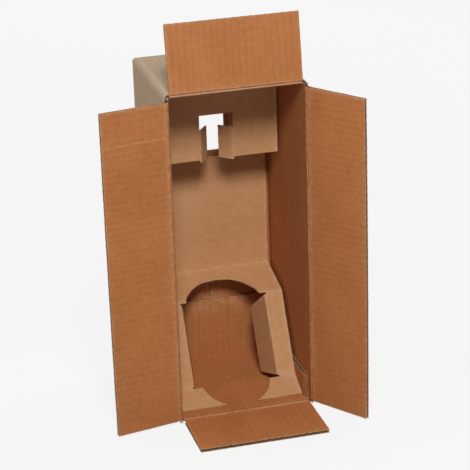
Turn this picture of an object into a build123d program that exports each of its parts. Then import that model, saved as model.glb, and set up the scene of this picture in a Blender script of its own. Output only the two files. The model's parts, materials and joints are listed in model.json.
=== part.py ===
from build123d import *
import math
import os

# Bottle shipping box: a slotted carton of corrugated board that stands with its opening
# to the front, and a folded board insert inside it that holds one wine bottle.
# Millimetres, +Z up. The opening faces -Y. The origin is the centre of the base.

# ---- carton: driving dimensions ----
inner_width = 152.0
inner_depth = 152.0
inner_height = 381.0
board = 4.0
fold_radius = 3.0

# ---- carton flaps and creases ----
flap_length = 78.0
flap_side_gap = 1.5
crease_inset = 1.5
crease_gap = 0.2
flap_stack_gap = 0.3
close_angle = 90.0
open_limit = 135.0
crease_slack = 1.0

top_flap_angle = 99.0
left_flap_angle = 79.0
right_flap_angle = 34.5

# ---- manufacturer's joint and rear opening ----
tab_height = 28.0
tab_end_inset = 5.0
tab_taper = 4.0
rear_seam = 0.8
rear_opening_width = 50.0
rear_opening_height = 68.0
rear_opening_drop = 51.0

# ---- insert: one sheet folded across its width ----
sheet = 1.6
tab_clearance = 0.5
sheet_back_gap = 0.3
fold_inner_radius = 0.8
lower_edge_setback = 17.0
lower_face_run = 27.7
lower_face_rise = 13.3
middle_face_run = 48.7
middle_face_rise = 87.4
upper_face_rise = 14.3
neck_panel_setback = 95.0
neck_panel_drop = 107.0

# ---- insert: cut-outs and the flaps folded out of them ----
bottle_cut_half_width = 52.0
base_cut_radius = 42.0
base_cut_setback = 54.0
shoulder_cut_radius = 45.0
shoulder_cut_setback = 84.0
brace_width = 40.0
brace_end_gap = 2.0
brace_corner = 9.0
brace_turn_in = 14.0
neck_slot_width = 39.5
neck_slot_height = 53.0
neck_flap_height = 38.5
neck_flap_overhang = 3.0
neck_flap_width = 19.0
left_neck_flap_turn_in = 35.0
right_neck_flap_turn_in = 48.0
back_window_margin = 5.0

# ---- worked out from the dimensions above ----
outer_width = inner_width + 2 * board
outer_height = inner_height + 2 * board
outer_depth = inner_depth + 2 * board
front = -outer_depth / 2
rear = outer_depth / 2
rear_inner = rear - 2 * board
floor_top = board
ceiling = board + inner_height
half_inner = inner_width / 2
half_outer = outer_width / 2
side_front = front - board - flap_stack_gap
far = 2 * outer_height


def block(x0, x1, y0, y1, z0, z1):
    """A box between two corners."""
    size = (x1 - x0, y1 - y0, z1 - z0)
    middle = ((x0 + x1) / 2, (y0 + y1) / 2, (z0 + z1) / 2)
    return Pos(*middle) * Box(*size)


# ---------------------------------------------------------------- creases and flaps
# A crease is drawn in its own plane: the first axis runs away from the crease line
# into the board, the second runs through the board from the crease axis to the inside.

def crease_relief(width):
    """The prism that leaves a board's end as a blunt nose at the crease axis."""
    inner_half_angle = math.radians((180 - close_angle) / 2 - crease_slack)
    outer_half_angle = math.radians((180 - open_limit) / 2 - crease_slack)
    inside = board - crease_inset
    inner_reach = inside / math.tan(inner_half_angle)
    outer_reach = crease_inset / math.tan(outer_half_angle)
    inner_nose = crease_gap * math.tan(inner_half_angle)
    outer_nose = crease_gap * math.tan(outer_half_angle)
    outline = Polyline(
        (-board, inside + 1),
        (inner_reach, inside + 1),
        (inner_reach, inside),
        (crease_gap, inner_nose),
        (crease_gap, -outer_nose),
        (outer_reach, -crease_inset),
        (outer_reach, -crease_inset - 1),
        (-board, -crease_inset - 1),
        close=True,
    )
    return extrude(make_face(outline), width / 2, both=True)


def flap(width, angle):
    """A flap in its crease's frame: +X runs along the flap, +Y to its inner face."""
    slab = block(0, flap_length, -crease_inset, board - crease_inset, -width / 2, width / 2)
    shaped = slab - crease_relief(width + 2)
    return Rot(0, 0, -angle) * shaped


# Each crease frame has its origin on the crease axis, +X straight out of the carton
# and +Y towards the inside of the carton.
top_crease = Plane(
    origin=(0, front, outer_height - crease_inset), x_dir=(0, -1, 0), z_dir=(1, 0, 0)
)
bottom_crease = Plane(origin=(0, front, crease_inset), x_dir=(0, -1, 0), z_dir=(-1, 0, 0))
left_crease = Plane(
    origin=(crease_inset - half_outer, side_front, outer_height / 2),
    x_dir=(0, -1, 0),
    z_dir=(0, 0, 1),
)
right_crease = Plane(
    origin=(half_outer - crease_inset, side_front, outer_height / 2),
    x_dir=(0, -1, 0),
    z_dir=(0, 0, -1),
)

minor_flap_width = inner_width - 2 * flap_side_gap
major_flap_width = inner_height - 2 * flap_side_gap

top_flap = top_crease.location * flap(minor_flap_width, top_flap_angle)
bottom_flap = bottom_crease.location * flap(minor_flap_width, 0)
left_flap = left_crease.location * flap(major_flap_width, left_flap_angle)
right_flap = right_crease.location * flap(major_flap_width, right_flap_angle)


# ---------------------------------------------------------------- carton body
def wall_relief(crease, width):
    """The crease relief of the wall that a flap hangs from."""
    return crease.location * mirror(crease_relief(width), about=Plane.YZ)


def make_carton():
    """Four walls, the glued rear flaps and the glued tab, as one folded sheet."""
    shell = block(-half_outer, half_outer, side_front, rear, 0, outer_height)
    shell = fillet(shell.edges().filter_by(Axis.Y), fold_radius)
    rear_corners = shell.edges().filter_by(Axis.Z).group_by(Axis.Y)[-1]
    shell = fillet(rear_corners, fold_radius)

    inside = block(-half_inner, half_inner, side_front - board, rear_inner, floor_top, ceiling)
    mouth = block(-half_inner, half_inner, side_front - board, front, -board, far)
    shell = shell - inside - mouth

    # Behind the two inner rear flaps lie the two outer ones, which meet at a seam.
    rear_flap_reach = crease_inset + flap_length
    between_inner_flaps = block(
        -half_inner,
        half_inner,
        rear_inner - board,
        rear - board,
        rear_flap_reach,
        outer_height - rear_flap_reach,
    )
    seam = block(-rear_seam / 2, rear_seam / 2, rear - board, far, -board, far)
    shell = shell - between_inner_flaps - seam - rear_opening(0)

    shell -= wall_relief(top_crease, inner_width)
    shell -= wall_relief(bottom_crease, inner_width)
    shell -= wall_relief(left_crease, outer_height)
    shell -= wall_relief(right_crease, outer_height)
    return shell + glue_tab()


def rear_opening(margin):
    """The opening behind the bottle's neck, wider by a margin all round."""
    half = rear_opening_width / 2 + margin
    head = ceiling - rear_opening_drop
    sill = head - rear_opening_height
    return block(-half, half, rear_inner - 2 * board, far, sill - margin, head + margin)


def glue_tab():
    """The tab of the bottom panel, glued up inside the right wall."""
    front_end = front + tab_end_inset
    rear_end = rear_inner - tab_end_inset
    outline = Polyline(
        (front_end, floor_top - board / 2),
        (rear_end, floor_top - board / 2),
        (rear_end - tab_taper, floor_top + tab_height),
        (front_end + tab_taper, floor_top + tab_height),
        close=True,
    )
    profile = Plane(origin=(half_inner, 0, 0), x_dir=(0, 1, 0), z_dir=(1, 0, 0)) * outline
    return extrude(make_face(profile), amount=-board)


carton_body = make_carton()


# ---------------------------------------------------------------- insert
# Points of the sheet's section are (distance behind the mouth, height above the floor).
# They follow the face of the sheet that rests on the floor, the rear and the ceiling.
back_face = inner_depth - sheet_back_gap
top_face = inner_height - sheet_back_gap
lower_edge = Vector(lower_edge_setback, 0)
lower_fold = lower_edge + Vector(lower_face_run, lower_face_rise)
middle_fold = lower_fold + Vector(middle_face_run, middle_face_rise)
back_fold = Vector(back_face, middle_fold.Y + upper_face_rise)
section_points = [
    lower_edge,
    lower_fold,
    middle_fold,
    back_fold,
    Vector(back_face, top_face),
    Vector(neck_panel_setback, top_face),
    Vector(neck_panel_setback, top_face - neck_panel_drop),
]
insert_width = inner_width - 2 * (board + tab_clearance)
insert_plane = Plane(origin=(0, front, floor_top), x_dir=(0, 1, 0), z_dir=(1, 0, 0))


def left_normal(start, end):
    """The unit vector to the left of the line between two points."""
    along = (end - start).normalized()
    return Vector(-along.Y, along.X)


def inner_face_points(points, distance):
    """The points of the line that runs beside a line of points, at its left."""
    normals = [left_normal(a, b) for a, b in zip(points, points[1:])]
    moved = [points[0] + normals[0] * distance]
    for point, before, after in zip(points[1:-1], normals, normals[1:]):
        moved.append(point + (before + after) * (distance / (1 + before.dot(after))))
    moved.append(points[-1] + normals[-1] * distance)
    return moved


def fold_radii(points, inside_left):
    """The radius at each fold, larger on the outer side of the sheet."""
    radii = []
    for a, b, c in zip(points, points[1:], points[2:]):
        turns_left = left_normal(a, b).dot(c - b) > 0
        on_inner_side = turns_left == inside_left
        radii.append(fold_inner_radius + (0 if on_inner_side else sheet))
    return radii


def folded_sheet():
    """The sheet's section, drawn along its length and pulled to its width."""
    inner_points = inner_face_points(section_points, sheet)
    outer_line = FilletPolyline(*section_points, radius=fold_radii(section_points, False))
    inner_line = FilletPolyline(*inner_points, radius=fold_radii(inner_points, True))
    foot = Line(section_points[0], inner_points[0])
    hem = Line(section_points[-1], inner_points[-1])
    section = make_face(Curve() + [outer_line, inner_line, foot, hem])
    return extrude(insert_plane * section, insert_width / 2, both=True)


middle_along = (middle_fold - lower_fold).normalized()
middle_normal = left_normal(lower_fold, middle_fold)
middle_length = (middle_fold - lower_fold).length


def upright(setback, radius, bottom, top):
    """A standing cylinder on the centre line, between two heights above the floor."""
    height = top - bottom
    return Pos(0, front + setback, floor_top + (bottom + top) / 2) * Cylinder(radius, height)


def bottle_cut():
    """The cut-out in which the bottle stands and leans."""
    middle_frame = Plane(
        origin=insert_plane.from_local_coords(lower_fold),
        x_dir=(0, middle_along.X, middle_along.Y),
        z_dir=(1, 0, 0),
    )
    slab = Pos(middle_length / 2, 0, 0) * Box(
        middle_length, 6 * sheet, 2 * bottle_cut_half_width
    )
    at_base = upright(base_cut_setback, base_cut_radius, -board, lower_fold.Y + 2 * sheet)
    at_shoulder = upright(
        shoulder_cut_setback,
        shoulder_cut_radius,
        middle_fold.Y - 2 * sheet,
        back_fold.Y + board,
    )
    return [middle_frame.location * slab, at_base, at_shoulder]


def neck_slot():
    """The slot of the neck panel, from its lower edge to the window over the flaps."""
    lower = ceiling - sheet_back_gap - neck_panel_drop
    y = front + neck_panel_setback
    half = neck_slot_width / 2
    return block(-half, half, y - board, y + board, lower - board, lower + neck_slot_height)


def neck_flap(side, turn_in):
    """A flap of the neck slot, folded back and turned in; side is -1 left or 1 right."""
    foot = ceiling - sheet_back_gap - neck_panel_drop - neck_flap_overhang
    fold = (side * neck_slot_width / 2, front + neck_panel_setback + sheet / 2)
    angle = math.radians(turn_in)
    frame = Plane(
        origin=(*fold, foot),
        x_dir=(-side * math.sin(angle), math.cos(angle), 0),
        z_dir=(0, 0, 1),
    )
    plate = block(0, neck_flap_width, -sheet / 2, sheet / 2, 0, neck_flap_height)
    bend = Pos(0, 0, neck_flap_height / 2) * Cylinder(sheet / 2, neck_flap_height)
    return frame.location * (plate + bend)


def brace(side):
    """A flap of the bottle cut-out, folded back as a brace; side is -1 left or 1 right."""
    length = middle_length - 2 * brace_end_gap
    start = lower_fold + middle_normal * (sheet / 2) + middle_along * brace_end_gap
    origin = insert_plane.from_local_coords(start) + Vector(side * bottle_cut_half_width, 0, 0)
    angle = math.radians(brace_turn_in)
    backward = Vector(0, -middle_normal.X, -middle_normal.Y)
    across = backward * math.cos(angle) + Vector(-side * math.sin(angle), 0, 0)
    up_slope = Vector(0, middle_along.X, middle_along.Y)
    outline = Polyline(
        (0, 0),
        (brace_width, brace_corner),
        (brace_width, length - brace_corner),
        (0, length),
        close=True,
    )
    plate = extrude(make_face(outline), sheet / 2, both=True)
    bend = Pos(0, length / 2, 0) * Rot(90, 0, 0) * Cylinder(sheet / 2, length)
    frame = Plane(origin=origin, x_dir=across, z_dir=across.cross(up_slope))
    return frame.location * (plate + bend)


def make_insert():
    """The folded sheet with its cut-outs and the four flaps bent out of them."""
    folded = folded_sheet() - neck_slot()
    folded -= rear_opening(back_window_margin)
    for cut in bottle_cut():
        folded -= cut
    folded += neck_flap(-1, left_neck_flap_turn_in)
    folded += neck_flap(1, right_neck_flap_turn_in)
    folded += brace(-1)
    folded += brace(1)
    return folded


bottle_insert = make_insert()

# ---------------------------------------------------------------- one STEP file a node
nodes = {
    "carton_body": carton_body,
    "top_flap": top_flap,
    "bottom_flap": bottom_flap,
    "left_flap": left_flap,
    "right_flap": right_flap,
    "bottle_insert": bottle_insert,
}
os.makedirs("parts", exist_ok=True)
for name, shape in nodes.items():
    shape.label = name
    export_step(shape, f"parts/{name}.step")
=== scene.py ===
import json
import math
import random

import bmesh
import bpy
import numpy as np
from mathutils import Matrix, Vector


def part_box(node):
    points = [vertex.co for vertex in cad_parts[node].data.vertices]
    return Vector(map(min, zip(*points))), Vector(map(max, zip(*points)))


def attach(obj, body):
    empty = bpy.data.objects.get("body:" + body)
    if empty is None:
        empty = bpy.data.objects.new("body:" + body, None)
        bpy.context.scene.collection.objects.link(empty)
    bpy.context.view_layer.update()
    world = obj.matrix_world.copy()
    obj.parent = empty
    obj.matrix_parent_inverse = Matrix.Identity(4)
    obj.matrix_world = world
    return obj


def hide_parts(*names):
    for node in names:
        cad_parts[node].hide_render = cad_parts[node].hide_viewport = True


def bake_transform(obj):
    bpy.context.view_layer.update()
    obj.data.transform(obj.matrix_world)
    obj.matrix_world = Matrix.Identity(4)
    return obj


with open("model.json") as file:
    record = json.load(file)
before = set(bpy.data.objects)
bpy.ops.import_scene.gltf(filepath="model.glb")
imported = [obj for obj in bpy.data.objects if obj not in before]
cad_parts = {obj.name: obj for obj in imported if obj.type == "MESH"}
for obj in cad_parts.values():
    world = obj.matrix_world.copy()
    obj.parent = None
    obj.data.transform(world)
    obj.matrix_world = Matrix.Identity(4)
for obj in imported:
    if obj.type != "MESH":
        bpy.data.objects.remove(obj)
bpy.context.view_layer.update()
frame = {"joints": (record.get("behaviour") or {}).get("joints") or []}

MM = 0.001
joints = {joint["name"]: joint for joint in frame["joints"]}

# ---------------------------------------------------------------- board and paper
BOARD = 4.0 * MM
LINER = 0.5 * MM
FLUTE_PITCH = 7.4 * MM
FLUTE_PAPER = 0.32 * MM
FLUTE_CLEARANCE = 0.02 * MM
FLUTE_STEPS = 10
CREASE_INSET = 1.5 * MM
CREASE_INSIDE = BOARD - CREASE_INSET
INNER_REACH = 2.62 * MM
OUTER_REACH = 3.9 * MM

# ---------------------------------------------------------------- carton, from the frame
body_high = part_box("carton_body")[1]
HALF_WIDTH = body_high.x
HEIGHT = body_high.z
REAR = body_high.y
INNER_HALF = HALF_WIDTH - BOARD
CEILING = HEIGHT - BOARD
MINOR_AXIS_Y = joints["top_flap_fold"]["pos_m"][1]
MAJOR_AXIS_Y = joints["left_flap_fold"]["pos_m"][1]
bottom_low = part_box("bottom_flap")[0]
FLAP_LENGTH = MINOR_AXIS_Y - bottom_low.y
REAR_SEAM = 0.4 * MM
REAR_SLOT = 2.0 * MM
SIDE_GAP = 1.5 * MM
TAB_HEIGHT = 28.0 * MM
TAB_END_INSET = 5.0 * MM
TAB_TAPER = 4.0 * MM

# ---------------------------------------------------------------- rear opening
OPENING_HALF = 25.0 * MM
OPENING_HEAD = CEILING - 51.0 * MM
OPENING_SILL = OPENING_HEAD - 68.0 * MM
BACK_WINDOW_MARGIN = 5.0 * MM

# ---------------------------------------------------------------- insert
SHEET = 1.6 * MM
FOLD_RADIUS = 1.6 * MM
insert_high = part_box("bottle_insert")[1]
INSERT_HALF = insert_high.x
INSERT_BACK = insert_high.y
INSERT_TOP = insert_high.z
LOWER_EDGE_Y = MINOR_AXIS_Y + 17.0 * MM
LOWER_FOLD = Vector((LOWER_EDGE_Y + 27.7 * MM, BOARD + 13.3 * MM))
MIDDLE_FOLD = LOWER_FOLD + Vector((48.7 * MM, 87.4 * MM))
SHELF_BACK_Z = MIDDLE_FOLD.y + 14.3 * MM
NECK_PANEL_Y = MINOR_AXIS_Y + 95.0 * MM
NECK_PANEL_FOOT = INSERT_TOP - 107.0 * MM
NECK_SLOT_HALF = 19.75 * MM
NECK_SLOT_HEAD = NECK_PANEL_FOOT + 53.0 * MM
NECK_FLAP_HEIGHT = 38.5 * MM
NECK_FLAP_OVERHANG = 3.0 * MM
NECK_FLAP_WIDTH = 19.0 * MM
NECK_FLAP_TURN_IN = {-1: 35.0, 1: 48.0}
BOTTLE_CUT_HALF = 52.0 * MM
BASE_CUT = (MINOR_AXIS_Y + 54.0 * MM, 42.0 * MM)
SHOULDER_CUT = (MINOR_AXIS_Y + 84.0 * MM, 45.0 * MM)
BRACE_WIDTH = 40.0 * MM
BRACE_END_GAP = 2.0 * MM
BRACE_CORNER = 9.0 * MM
BRACE_TURN_IN = 14.0


# ================================================================ meshes
def turn_outward(mesh):
    """Turns a closed mesh's normals outward."""
    outward = bmesh.new()
    outward.from_mesh(mesh)
    bmesh.ops.recalc_face_normals(outward, faces=outward.faces)
    outward.to_mesh(mesh)
    outward.free()


def placed(name, data):
    """A new object with its mesh, light or camera, in the scene."""
    piece = bpy.data.objects.new(name, data)
    bpy.context.collection.objects.link(piece)
    return piece


class MeshParts:
    """Collects points, faces, material numbers, sheet coordinates, and rubbed wear with the
    painted highlight along creases.
    """

    def __init__(self):
        self.points = []
        self.faces = []
        self.slots = []
        self.uvs = []
        self.worn = []

    def add_points(self, grid, uv, worn):
        start = len(self.points)
        self.points.extend(map(tuple, grid.reshape(-1, 3)))
        self.uvs.extend(map(tuple, uv.reshape(-1, 2)))
        self.worn.extend(np.asarray(worn, float).reshape(-1).tolist())
        return start

    def add_slab(self, upper, lower, uv, worn, slots):
        """A closed sheet between two nets of points; slots are upper, lower, cut edge."""
        rows, columns = upper.shape[:2]
        first = self.add_points(upper, uv, worn)
        second = self.add_points(lower, uv, worn)
        upper_slot, lower_slot, edge_slot = slots

        def face(points, slot):
            self.faces.append(points)
            self.slots.append(slot)

        for r in range(rows - 1):
            for c in range(columns - 1):
                a = r * columns + c
                quad = (a, a + 1, a + columns + 1, a + columns)
                face(tuple(first + i for i in quad), upper_slot)
                face(tuple(second + i for i in reversed(quad)), lower_slot)
        rim = [r * columns for r in range(rows)]
        rim += [(rows - 1) * columns + c for c in range(1, columns)]
        rim += [r * columns + columns - 1 for r in range(rows - 2, -1, -1)]
        rim += list(range(columns - 2, 0, -1))
        for a, b in zip(rim, rim[1:] + rim[:1]):
            face((first + a, second + a, second + b, first + b), edge_slot)

    def build(self, name, materials, smooth=False):
        """Makes the object, with its normals turned outward."""
        mesh = bpy.data.meshes.new(name)
        mesh.from_pydata(self.points, [], self.faces)
        corner_points = np.empty(len(mesh.loops), dtype=np.int32)
        mesh.loops.foreach_get("vertex_index", corner_points)
        uv_map = mesh.uv_layers.new(name="sheet")
        uv_map.data.foreach_set(
            "uv", np.array(self.uvs, np.float32)[corner_points].ravel()
        )
        worn = mesh.attributes.new("worn", "FLOAT", "POINT")
        worn.data.foreach_set("value", np.array(self.worn, np.float32))
        mesh.polygons.foreach_set("material_index", np.array(self.slots, np.int32))
        mesh.polygons.foreach_set("use_smooth", np.full(len(self.faces), smooth))
        for material in materials:
            mesh.materials.append(material)
        turn_outward(mesh)
        mesh.update()
        return placed(name, mesh)


def wobble(x, y, seed):
    """A gentle, repeatable unevenness between about -1 and 1."""
    turn = seed * 1.7
    return (
        np.sin(x * 41 + y * 23 + turn)
        + 0.6 * np.sin(x * 93 - y * 67 + 2.1 * turn)
        + 0.4 * np.sin(x * 211 + y * 169 + 3.3 * turn)
    ) / 2.0


def ragged(along, seed):
    """The unevenness of a cut edge, between about -1 and 1."""
    return (
        np.sin(along * 700 + seed)
        + 0.7 * np.sin(along * 1900 + 2 * seed)
        + 0.5 * np.sin(along * 4700 + 5 * seed)
    ) / 2.2


# ================================================================ corrugated board
INNER_FACE, OUTER_FACE, FLUTE_FACE, CUT_FACE = range(4)


class Board:
    """A stretch of corrugated board: a path that its flutes follow, and its width across.

    path(u) gives the point on the crease-axis layer and the direction of the inside;
    across is the unit vector along which the flutes are counted.
    """

    def __init__(self, path, across, warp=None, dents=(), crush=0.0):
        self.path = path
        self.crush = crush
        self.across = np.array(across, float)
        self.warp = warp or (lambda u, v: 0 * u * v)
        self.dents = dents

    def place(self, u, v, w):
        """Points at distance u along the flutes, v across them and w towards the inside."""
        base, inward = self.path(u)
        if self.crush:
            pressed = 1 - 0.72 * np.exp(-((u / self.crush) ** 2))
            w = CREASE_INSIDE + (w - CREASE_INSIDE) * pressed
        lift = w + self.warp(u, v)
        return base + inward * lift[..., None] + self.across * v[..., None]

    def add_liner(self, parts, u, v_low, v_high, v_steps, height, thickness, slot, seed, cut):
        """One liner; v_low and v_high give its side edges at each u."""
        share = np.linspace(0, 1, v_steps)
        uu = np.repeat(u[:, None], v_steps, axis=1)
        vv = v_low[:, None] + (v_high - v_low)[:, None] * share[None, :]
        near_end = np.clip((uu - (u[-1] - 0.5 * MM)) / (0.5 * MM), 0, 1)
        uu = uu + near_end * cut * ragged(vv, seed)
        side = np.where(share < 0.5, -1, 1)[None, :] * (np.abs(share - 0.5) > 0.4999)
        vv = vv + side * 0.15 * MM * ragged(uu, seed + 3)
        top = np.full_like(uu, height)
        for dent_at, dent_width, dent_depth in self.dents:
            if slot == INNER_FACE:
                top = top - dent_depth * np.exp(-(((vv - dent_at) / dent_width) ** 2))
        rim = np.minimum(vv - vv[:, :1], vv[:, -1:] - vv)
        worn = np.exp(-rim / (1.2 * MM)) + np.exp(-(uu.max() - uu) / (1.2 * MM))
        # Paler next to the crease: partly rubbed wear, partly a painted highlight along the
        # crease.
        worn = worn + 0.8 * np.exp(-(uu - uu.min()) / (2.0 * MM))
        for dent_at, dent_width, _ in self.dents:
            worn = worn + 0.5 * np.exp(-(((vv - dent_at) / (1.5 * dent_width)) ** 2))
        upper = self.place(uu, vv, top)
        lower = self.place(uu, vv, top - thickness)
        uv = np.stack([uu, vv], axis=-1)
        faces = (slot, FLUTE_FACE) if slot == INNER_FACE else (FLUTE_FACE, slot)
        parts.add_slab(upper, lower, uv, np.clip(worn, 0, 1), (*faces, CUT_FACE))

    def add_flutes(self, parts, u, v_low, v_high, seed, cut):
        """The fluted paper between the liners."""
        middle = (CREASE_INSIDE - CREASE_INSET) / 2
        swing = (BOARD - 2 * LINER - FLUTE_PAPER) / 2 - FLUTE_CLEARANCE
        turns = (v_high - v_low) / FLUTE_PITCH
        count = int(turns * FLUTE_STEPS) + 1
        v = np.linspace(v_low, v_high, count)
        phase = 2 * math.pi * v / FLUTE_PITCH + seed
        slope = swing * np.cos(phase) * 2 * math.pi / FLUTE_PITCH
        lean = 1 / np.sqrt(1 + slope**2)
        half = FLUTE_PAPER / 2
        uu = np.repeat(u[:, None], count, axis=1)
        uu = uu + (uu > u[-1] - 1e-6) * cut * ragged(v, seed + 7)[None, :]
        sheets = []
        for sign in (1, -1):
            vv = np.broadcast_to(v - sign * half * slope * lean, uu.shape)
            ww = np.broadcast_to(middle + swing * np.sin(phase) + sign * half * lean, uu.shape)
            sheets.append(self.place(uu, vv, ww))
        uv = np.stack([uu, np.broadcast_to(v, uu.shape)], axis=-1)
        worn = np.zeros_like(uu)
        parts.add_slab(*sheets, uv, worn, (FLUTE_FACE, FLUTE_FACE, CUT_FACE))

    def add_liners(self, parts, u_inner, inner_v, u_outer, outer_v, v_steps, seed, cut):
        """Both liners, each with its side edges at each u."""
        for u, v, height, slot, own_seed in (
            (u_inner, inner_v, CREASE_INSIDE, INNER_FACE, seed),
            (u_outer, outer_v, LINER - CREASE_INSET, OUTER_FACE, seed + 1),
        ):
            self.add_liner(parts, u, *v, v_steps, height, LINER, slot, own_seed, cut)


def straight_path(origin, direction, inward):
    """A flat stretch of board."""
    origin, direction, inward = (np.array(x, float) for x in (origin, direction, inward))

    def path(u):
        base = origin + direction * u[..., None]
        return base, np.broadcast_to(inward, base.shape)

    return path


def bent_path(origin, direction, inward, run, radius):
    """Board that runs straight, then folds a quarter turn towards its inside."""
    origin, direction, inward = (np.array(x, float) for x in (origin, direction, inward))
    centre = origin + direction * run + inward * radius
    bend = radius * math.pi / 2

    def path(u):
        turn = np.clip((u - run) / radius, 0, math.pi / 2)[..., None]
        before = np.minimum(u, run)[..., None]
        after = np.maximum(u - run - bend, 0)[..., None]
        out = direction * np.sin(turn) - inward * np.cos(turn)
        heading = direction * np.cos(turn) + inward * np.sin(turn)
        on_arc = centre + out * radius
        base = np.where(
            u[..., None] <= run, origin + direction * before, on_arc + heading * after
        )
        return base, -out

    return path


def fixed(u, low, high):
    """Side edges that stay straight."""
    return np.full_like(u, low), np.full_like(u, high)


# ---------------------------------------------------------------- flaps and their creases
class Crease:
    """A flap's fold, read from its joint; the flap stands open by an angle at rest."""

    def __init__(self, name, inward, across):
        joint = joints[f"{name}_fold"]
        self.name = name
        self.origin = np.array(joint["pos_m"], float)
        self.open = math.radians(joint["range_deg"][1] - 90)
        self.out = np.array((0.0, -1.0, 0.0))
        self.inward = np.array(inward, float)
        self.across = np.array(across, float)
        low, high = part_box(name)
        self.low = float(self.across @ np.array(low)) - float(self.across @ self.origin)
        self.high = float(self.across @ np.array(high)) - float(self.across @ self.origin)

    def around(self, angle, radius, v):
        """A point about the crease axis; angle 0 is straight out of the carton."""
        ray = self.out * np.cos(angle)[..., None] + self.inward * np.sin(angle)[..., None]
        return self.origin + ray * radius[..., None] + self.across * v[..., None]

    def steps(self):
        """Even steps along the crease."""
        return np.linspace(self.low, self.high, int((self.high - self.low) / STRIP_STEP))

    def flap_board(self, warp, dents=()):
        heading = self.out * math.cos(self.open) - self.inward * math.sin(self.open)
        inside = self.out * math.sin(self.open) + self.inward * math.cos(self.open)
        return Board(straight_path(self.origin, heading, inside), self.across, warp, dents)


creases = {
    "top_flap": Crease("top_flap", (0, 0, -1), (1, 0, 0)),
    "bottom_flap": Crease("bottom_flap", (0, 0, 1), (1, 0, 0)),
    "left_flap": Crease("left_flap", (1, 0, 0), (0, 0, 1)),
    "right_flap": Crease("right_flap", (-1, 0, 0), (0, 0, 1)),
}

# The crushed strip at each crease, and the roll that the top flap turns about.
STRIP_STEP = 1.5 * MM
STRIP_THICKNESS = 0.3 * MM
ROLL_RADIUS = 1.0 * MM
ROLL_INSIDE = 0.7 * MM
LIP_START = 1.15 * MM

# How far the middle and one corner of each flap's free edge stand off flat. The short
# flaps bow to their inside and the long ones to their outside, so that they still stack.
FLAP_BOW = {
    "top_flap": (1.0 * MM, 0.6 * MM),
    "bottom_flap": (0.0, 0.0),
    "left_flap": (-1.0 * MM, -1.2 * MM),
    "right_flap": (-1.1 * MM, -0.8 * MM),
}
# A pressed line across the left flap, given from the flap's middle.
LEFT_FLAP_LINE = 151.0 * MM


def make_flap(name, seed, materials):
    crease = creases[name]
    bow, twist = FLAP_BOW[name]
    span = crease.high - crease.low

    def warp(u, v):
        share = np.clip((u - 8 * MM) / (FLAP_LENGTH - 8 * MM), 0, 1)
        lean = v / span
        uneven = 0.08 * MM * wobble(u, v, seed) if bow else 0
        return share**2 * (bow * (1 - 4 * lean**2) + twist * (0.5 + lean) + uneven)

    dents = [(LEFT_FLAP_LINE, 0.9 * MM, 0.35 * MM)] if name == "left_flap" else []
    board = crease.flap_board(warp, dents)
    parts = MeshParts()
    near_edge = [FLAP_LENGTH - x * MM for x in (2.5, 1.2, 0.5, 0)]
    u_inner = np.array([INNER_REACH, *(x * MM for x in (3.6, 5, 8, 14, 24, 36, 48, 60, 70))])
    u_inner = np.concatenate([u_inner, near_edge])
    u_outer = np.concatenate([[OUTER_REACH], u_inner[2:]])
    v_steps = int(span / (1.3 * MM))
    ends = (crease.low, crease.high)
    sides = (u_inner, fixed(u_inner, *ends), u_outer, fixed(u_outer, *ends))
    board.add_liners(parts, *sides, v_steps, seed, 0.25 * MM)
    u_flutes = np.concatenate([[OUTER_REACH + 0.3 * MM], u_inner[3:]])
    board.add_flutes(parts, u_flutes, crease.low, crease.high, seed, 0.35 * MM)
    piece = parts.build(f"{name}_board", materials)
    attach(piece, name)
    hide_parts(name)
    return piece


def crease_strip(name, side, seed, materials):
    """The crushed liner that carries the board round its crease, inside or outside."""
    crease = creases[name]
    inner = side == "inner"
    if inner:
        reach, height = INNER_REACH, CREASE_INSIDE
        wall_angle = math.pi - math.atan2(height, reach)
        flap_angle = math.atan2(height, reach) - crease.open
        middle = 1.0 * MM
        # Drawn paler than the liner: partly rubbed wear on the score, partly a painted
        # highlight on the crease ridge.
        worn = 0.55
    else:
        reach, height = OUTER_REACH, CREASE_INSET
        wall_angle = -math.pi + math.atan2(height, reach)
        flap_angle = -math.atan2(height, reach) - crease.open
        middle = 2.3 * MM
        worn = 0.05
    end_radius = math.hypot(reach, height)
    share = np.linspace(0, 1, 13)
    v = crease.steps()
    s, vv = np.meshgrid(share, v, indexing="ij")
    angle = wall_angle + (flap_angle - wall_angle) * s
    dip = np.sin(math.pi * s) ** 0.6
    crumple = 0.12 * MM * wobble(4 * s, vv, seed) + 0.08 * MM * ragged(vv, seed)
    radius = end_radius - (end_radius - middle) * dip + crumple * np.sin(math.pi * s)
    upper = crease.around(angle, radius, vv)
    lower = crease.around(angle, np.maximum(radius - STRIP_THICKNESS, 0.25 * MM), vv)
    parts = MeshParts()
    uv = np.stack([s * 2 * reach, vv], axis=-1)
    face = INNER_FACE if inner else OUTER_FACE
    # Paler still towards the middle of the strip: a painted highlight along the crease, with
    # rubbed wear.
    parts.add_slab(upper, lower, uv, worn + 0.35 * dip, (face, FLUTE_FACE, CUT_FACE))
    piece = parts.build(f"{name}_{side}_crease", materials, smooth=True)
    at = crease.around(
        np.array([wall_angle, flap_angle]), np.full(2, end_radius), np.zeros(2)
    )
    tuple(at[0])
    tuple(at[1])
    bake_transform(piece)
    return piece


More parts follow.
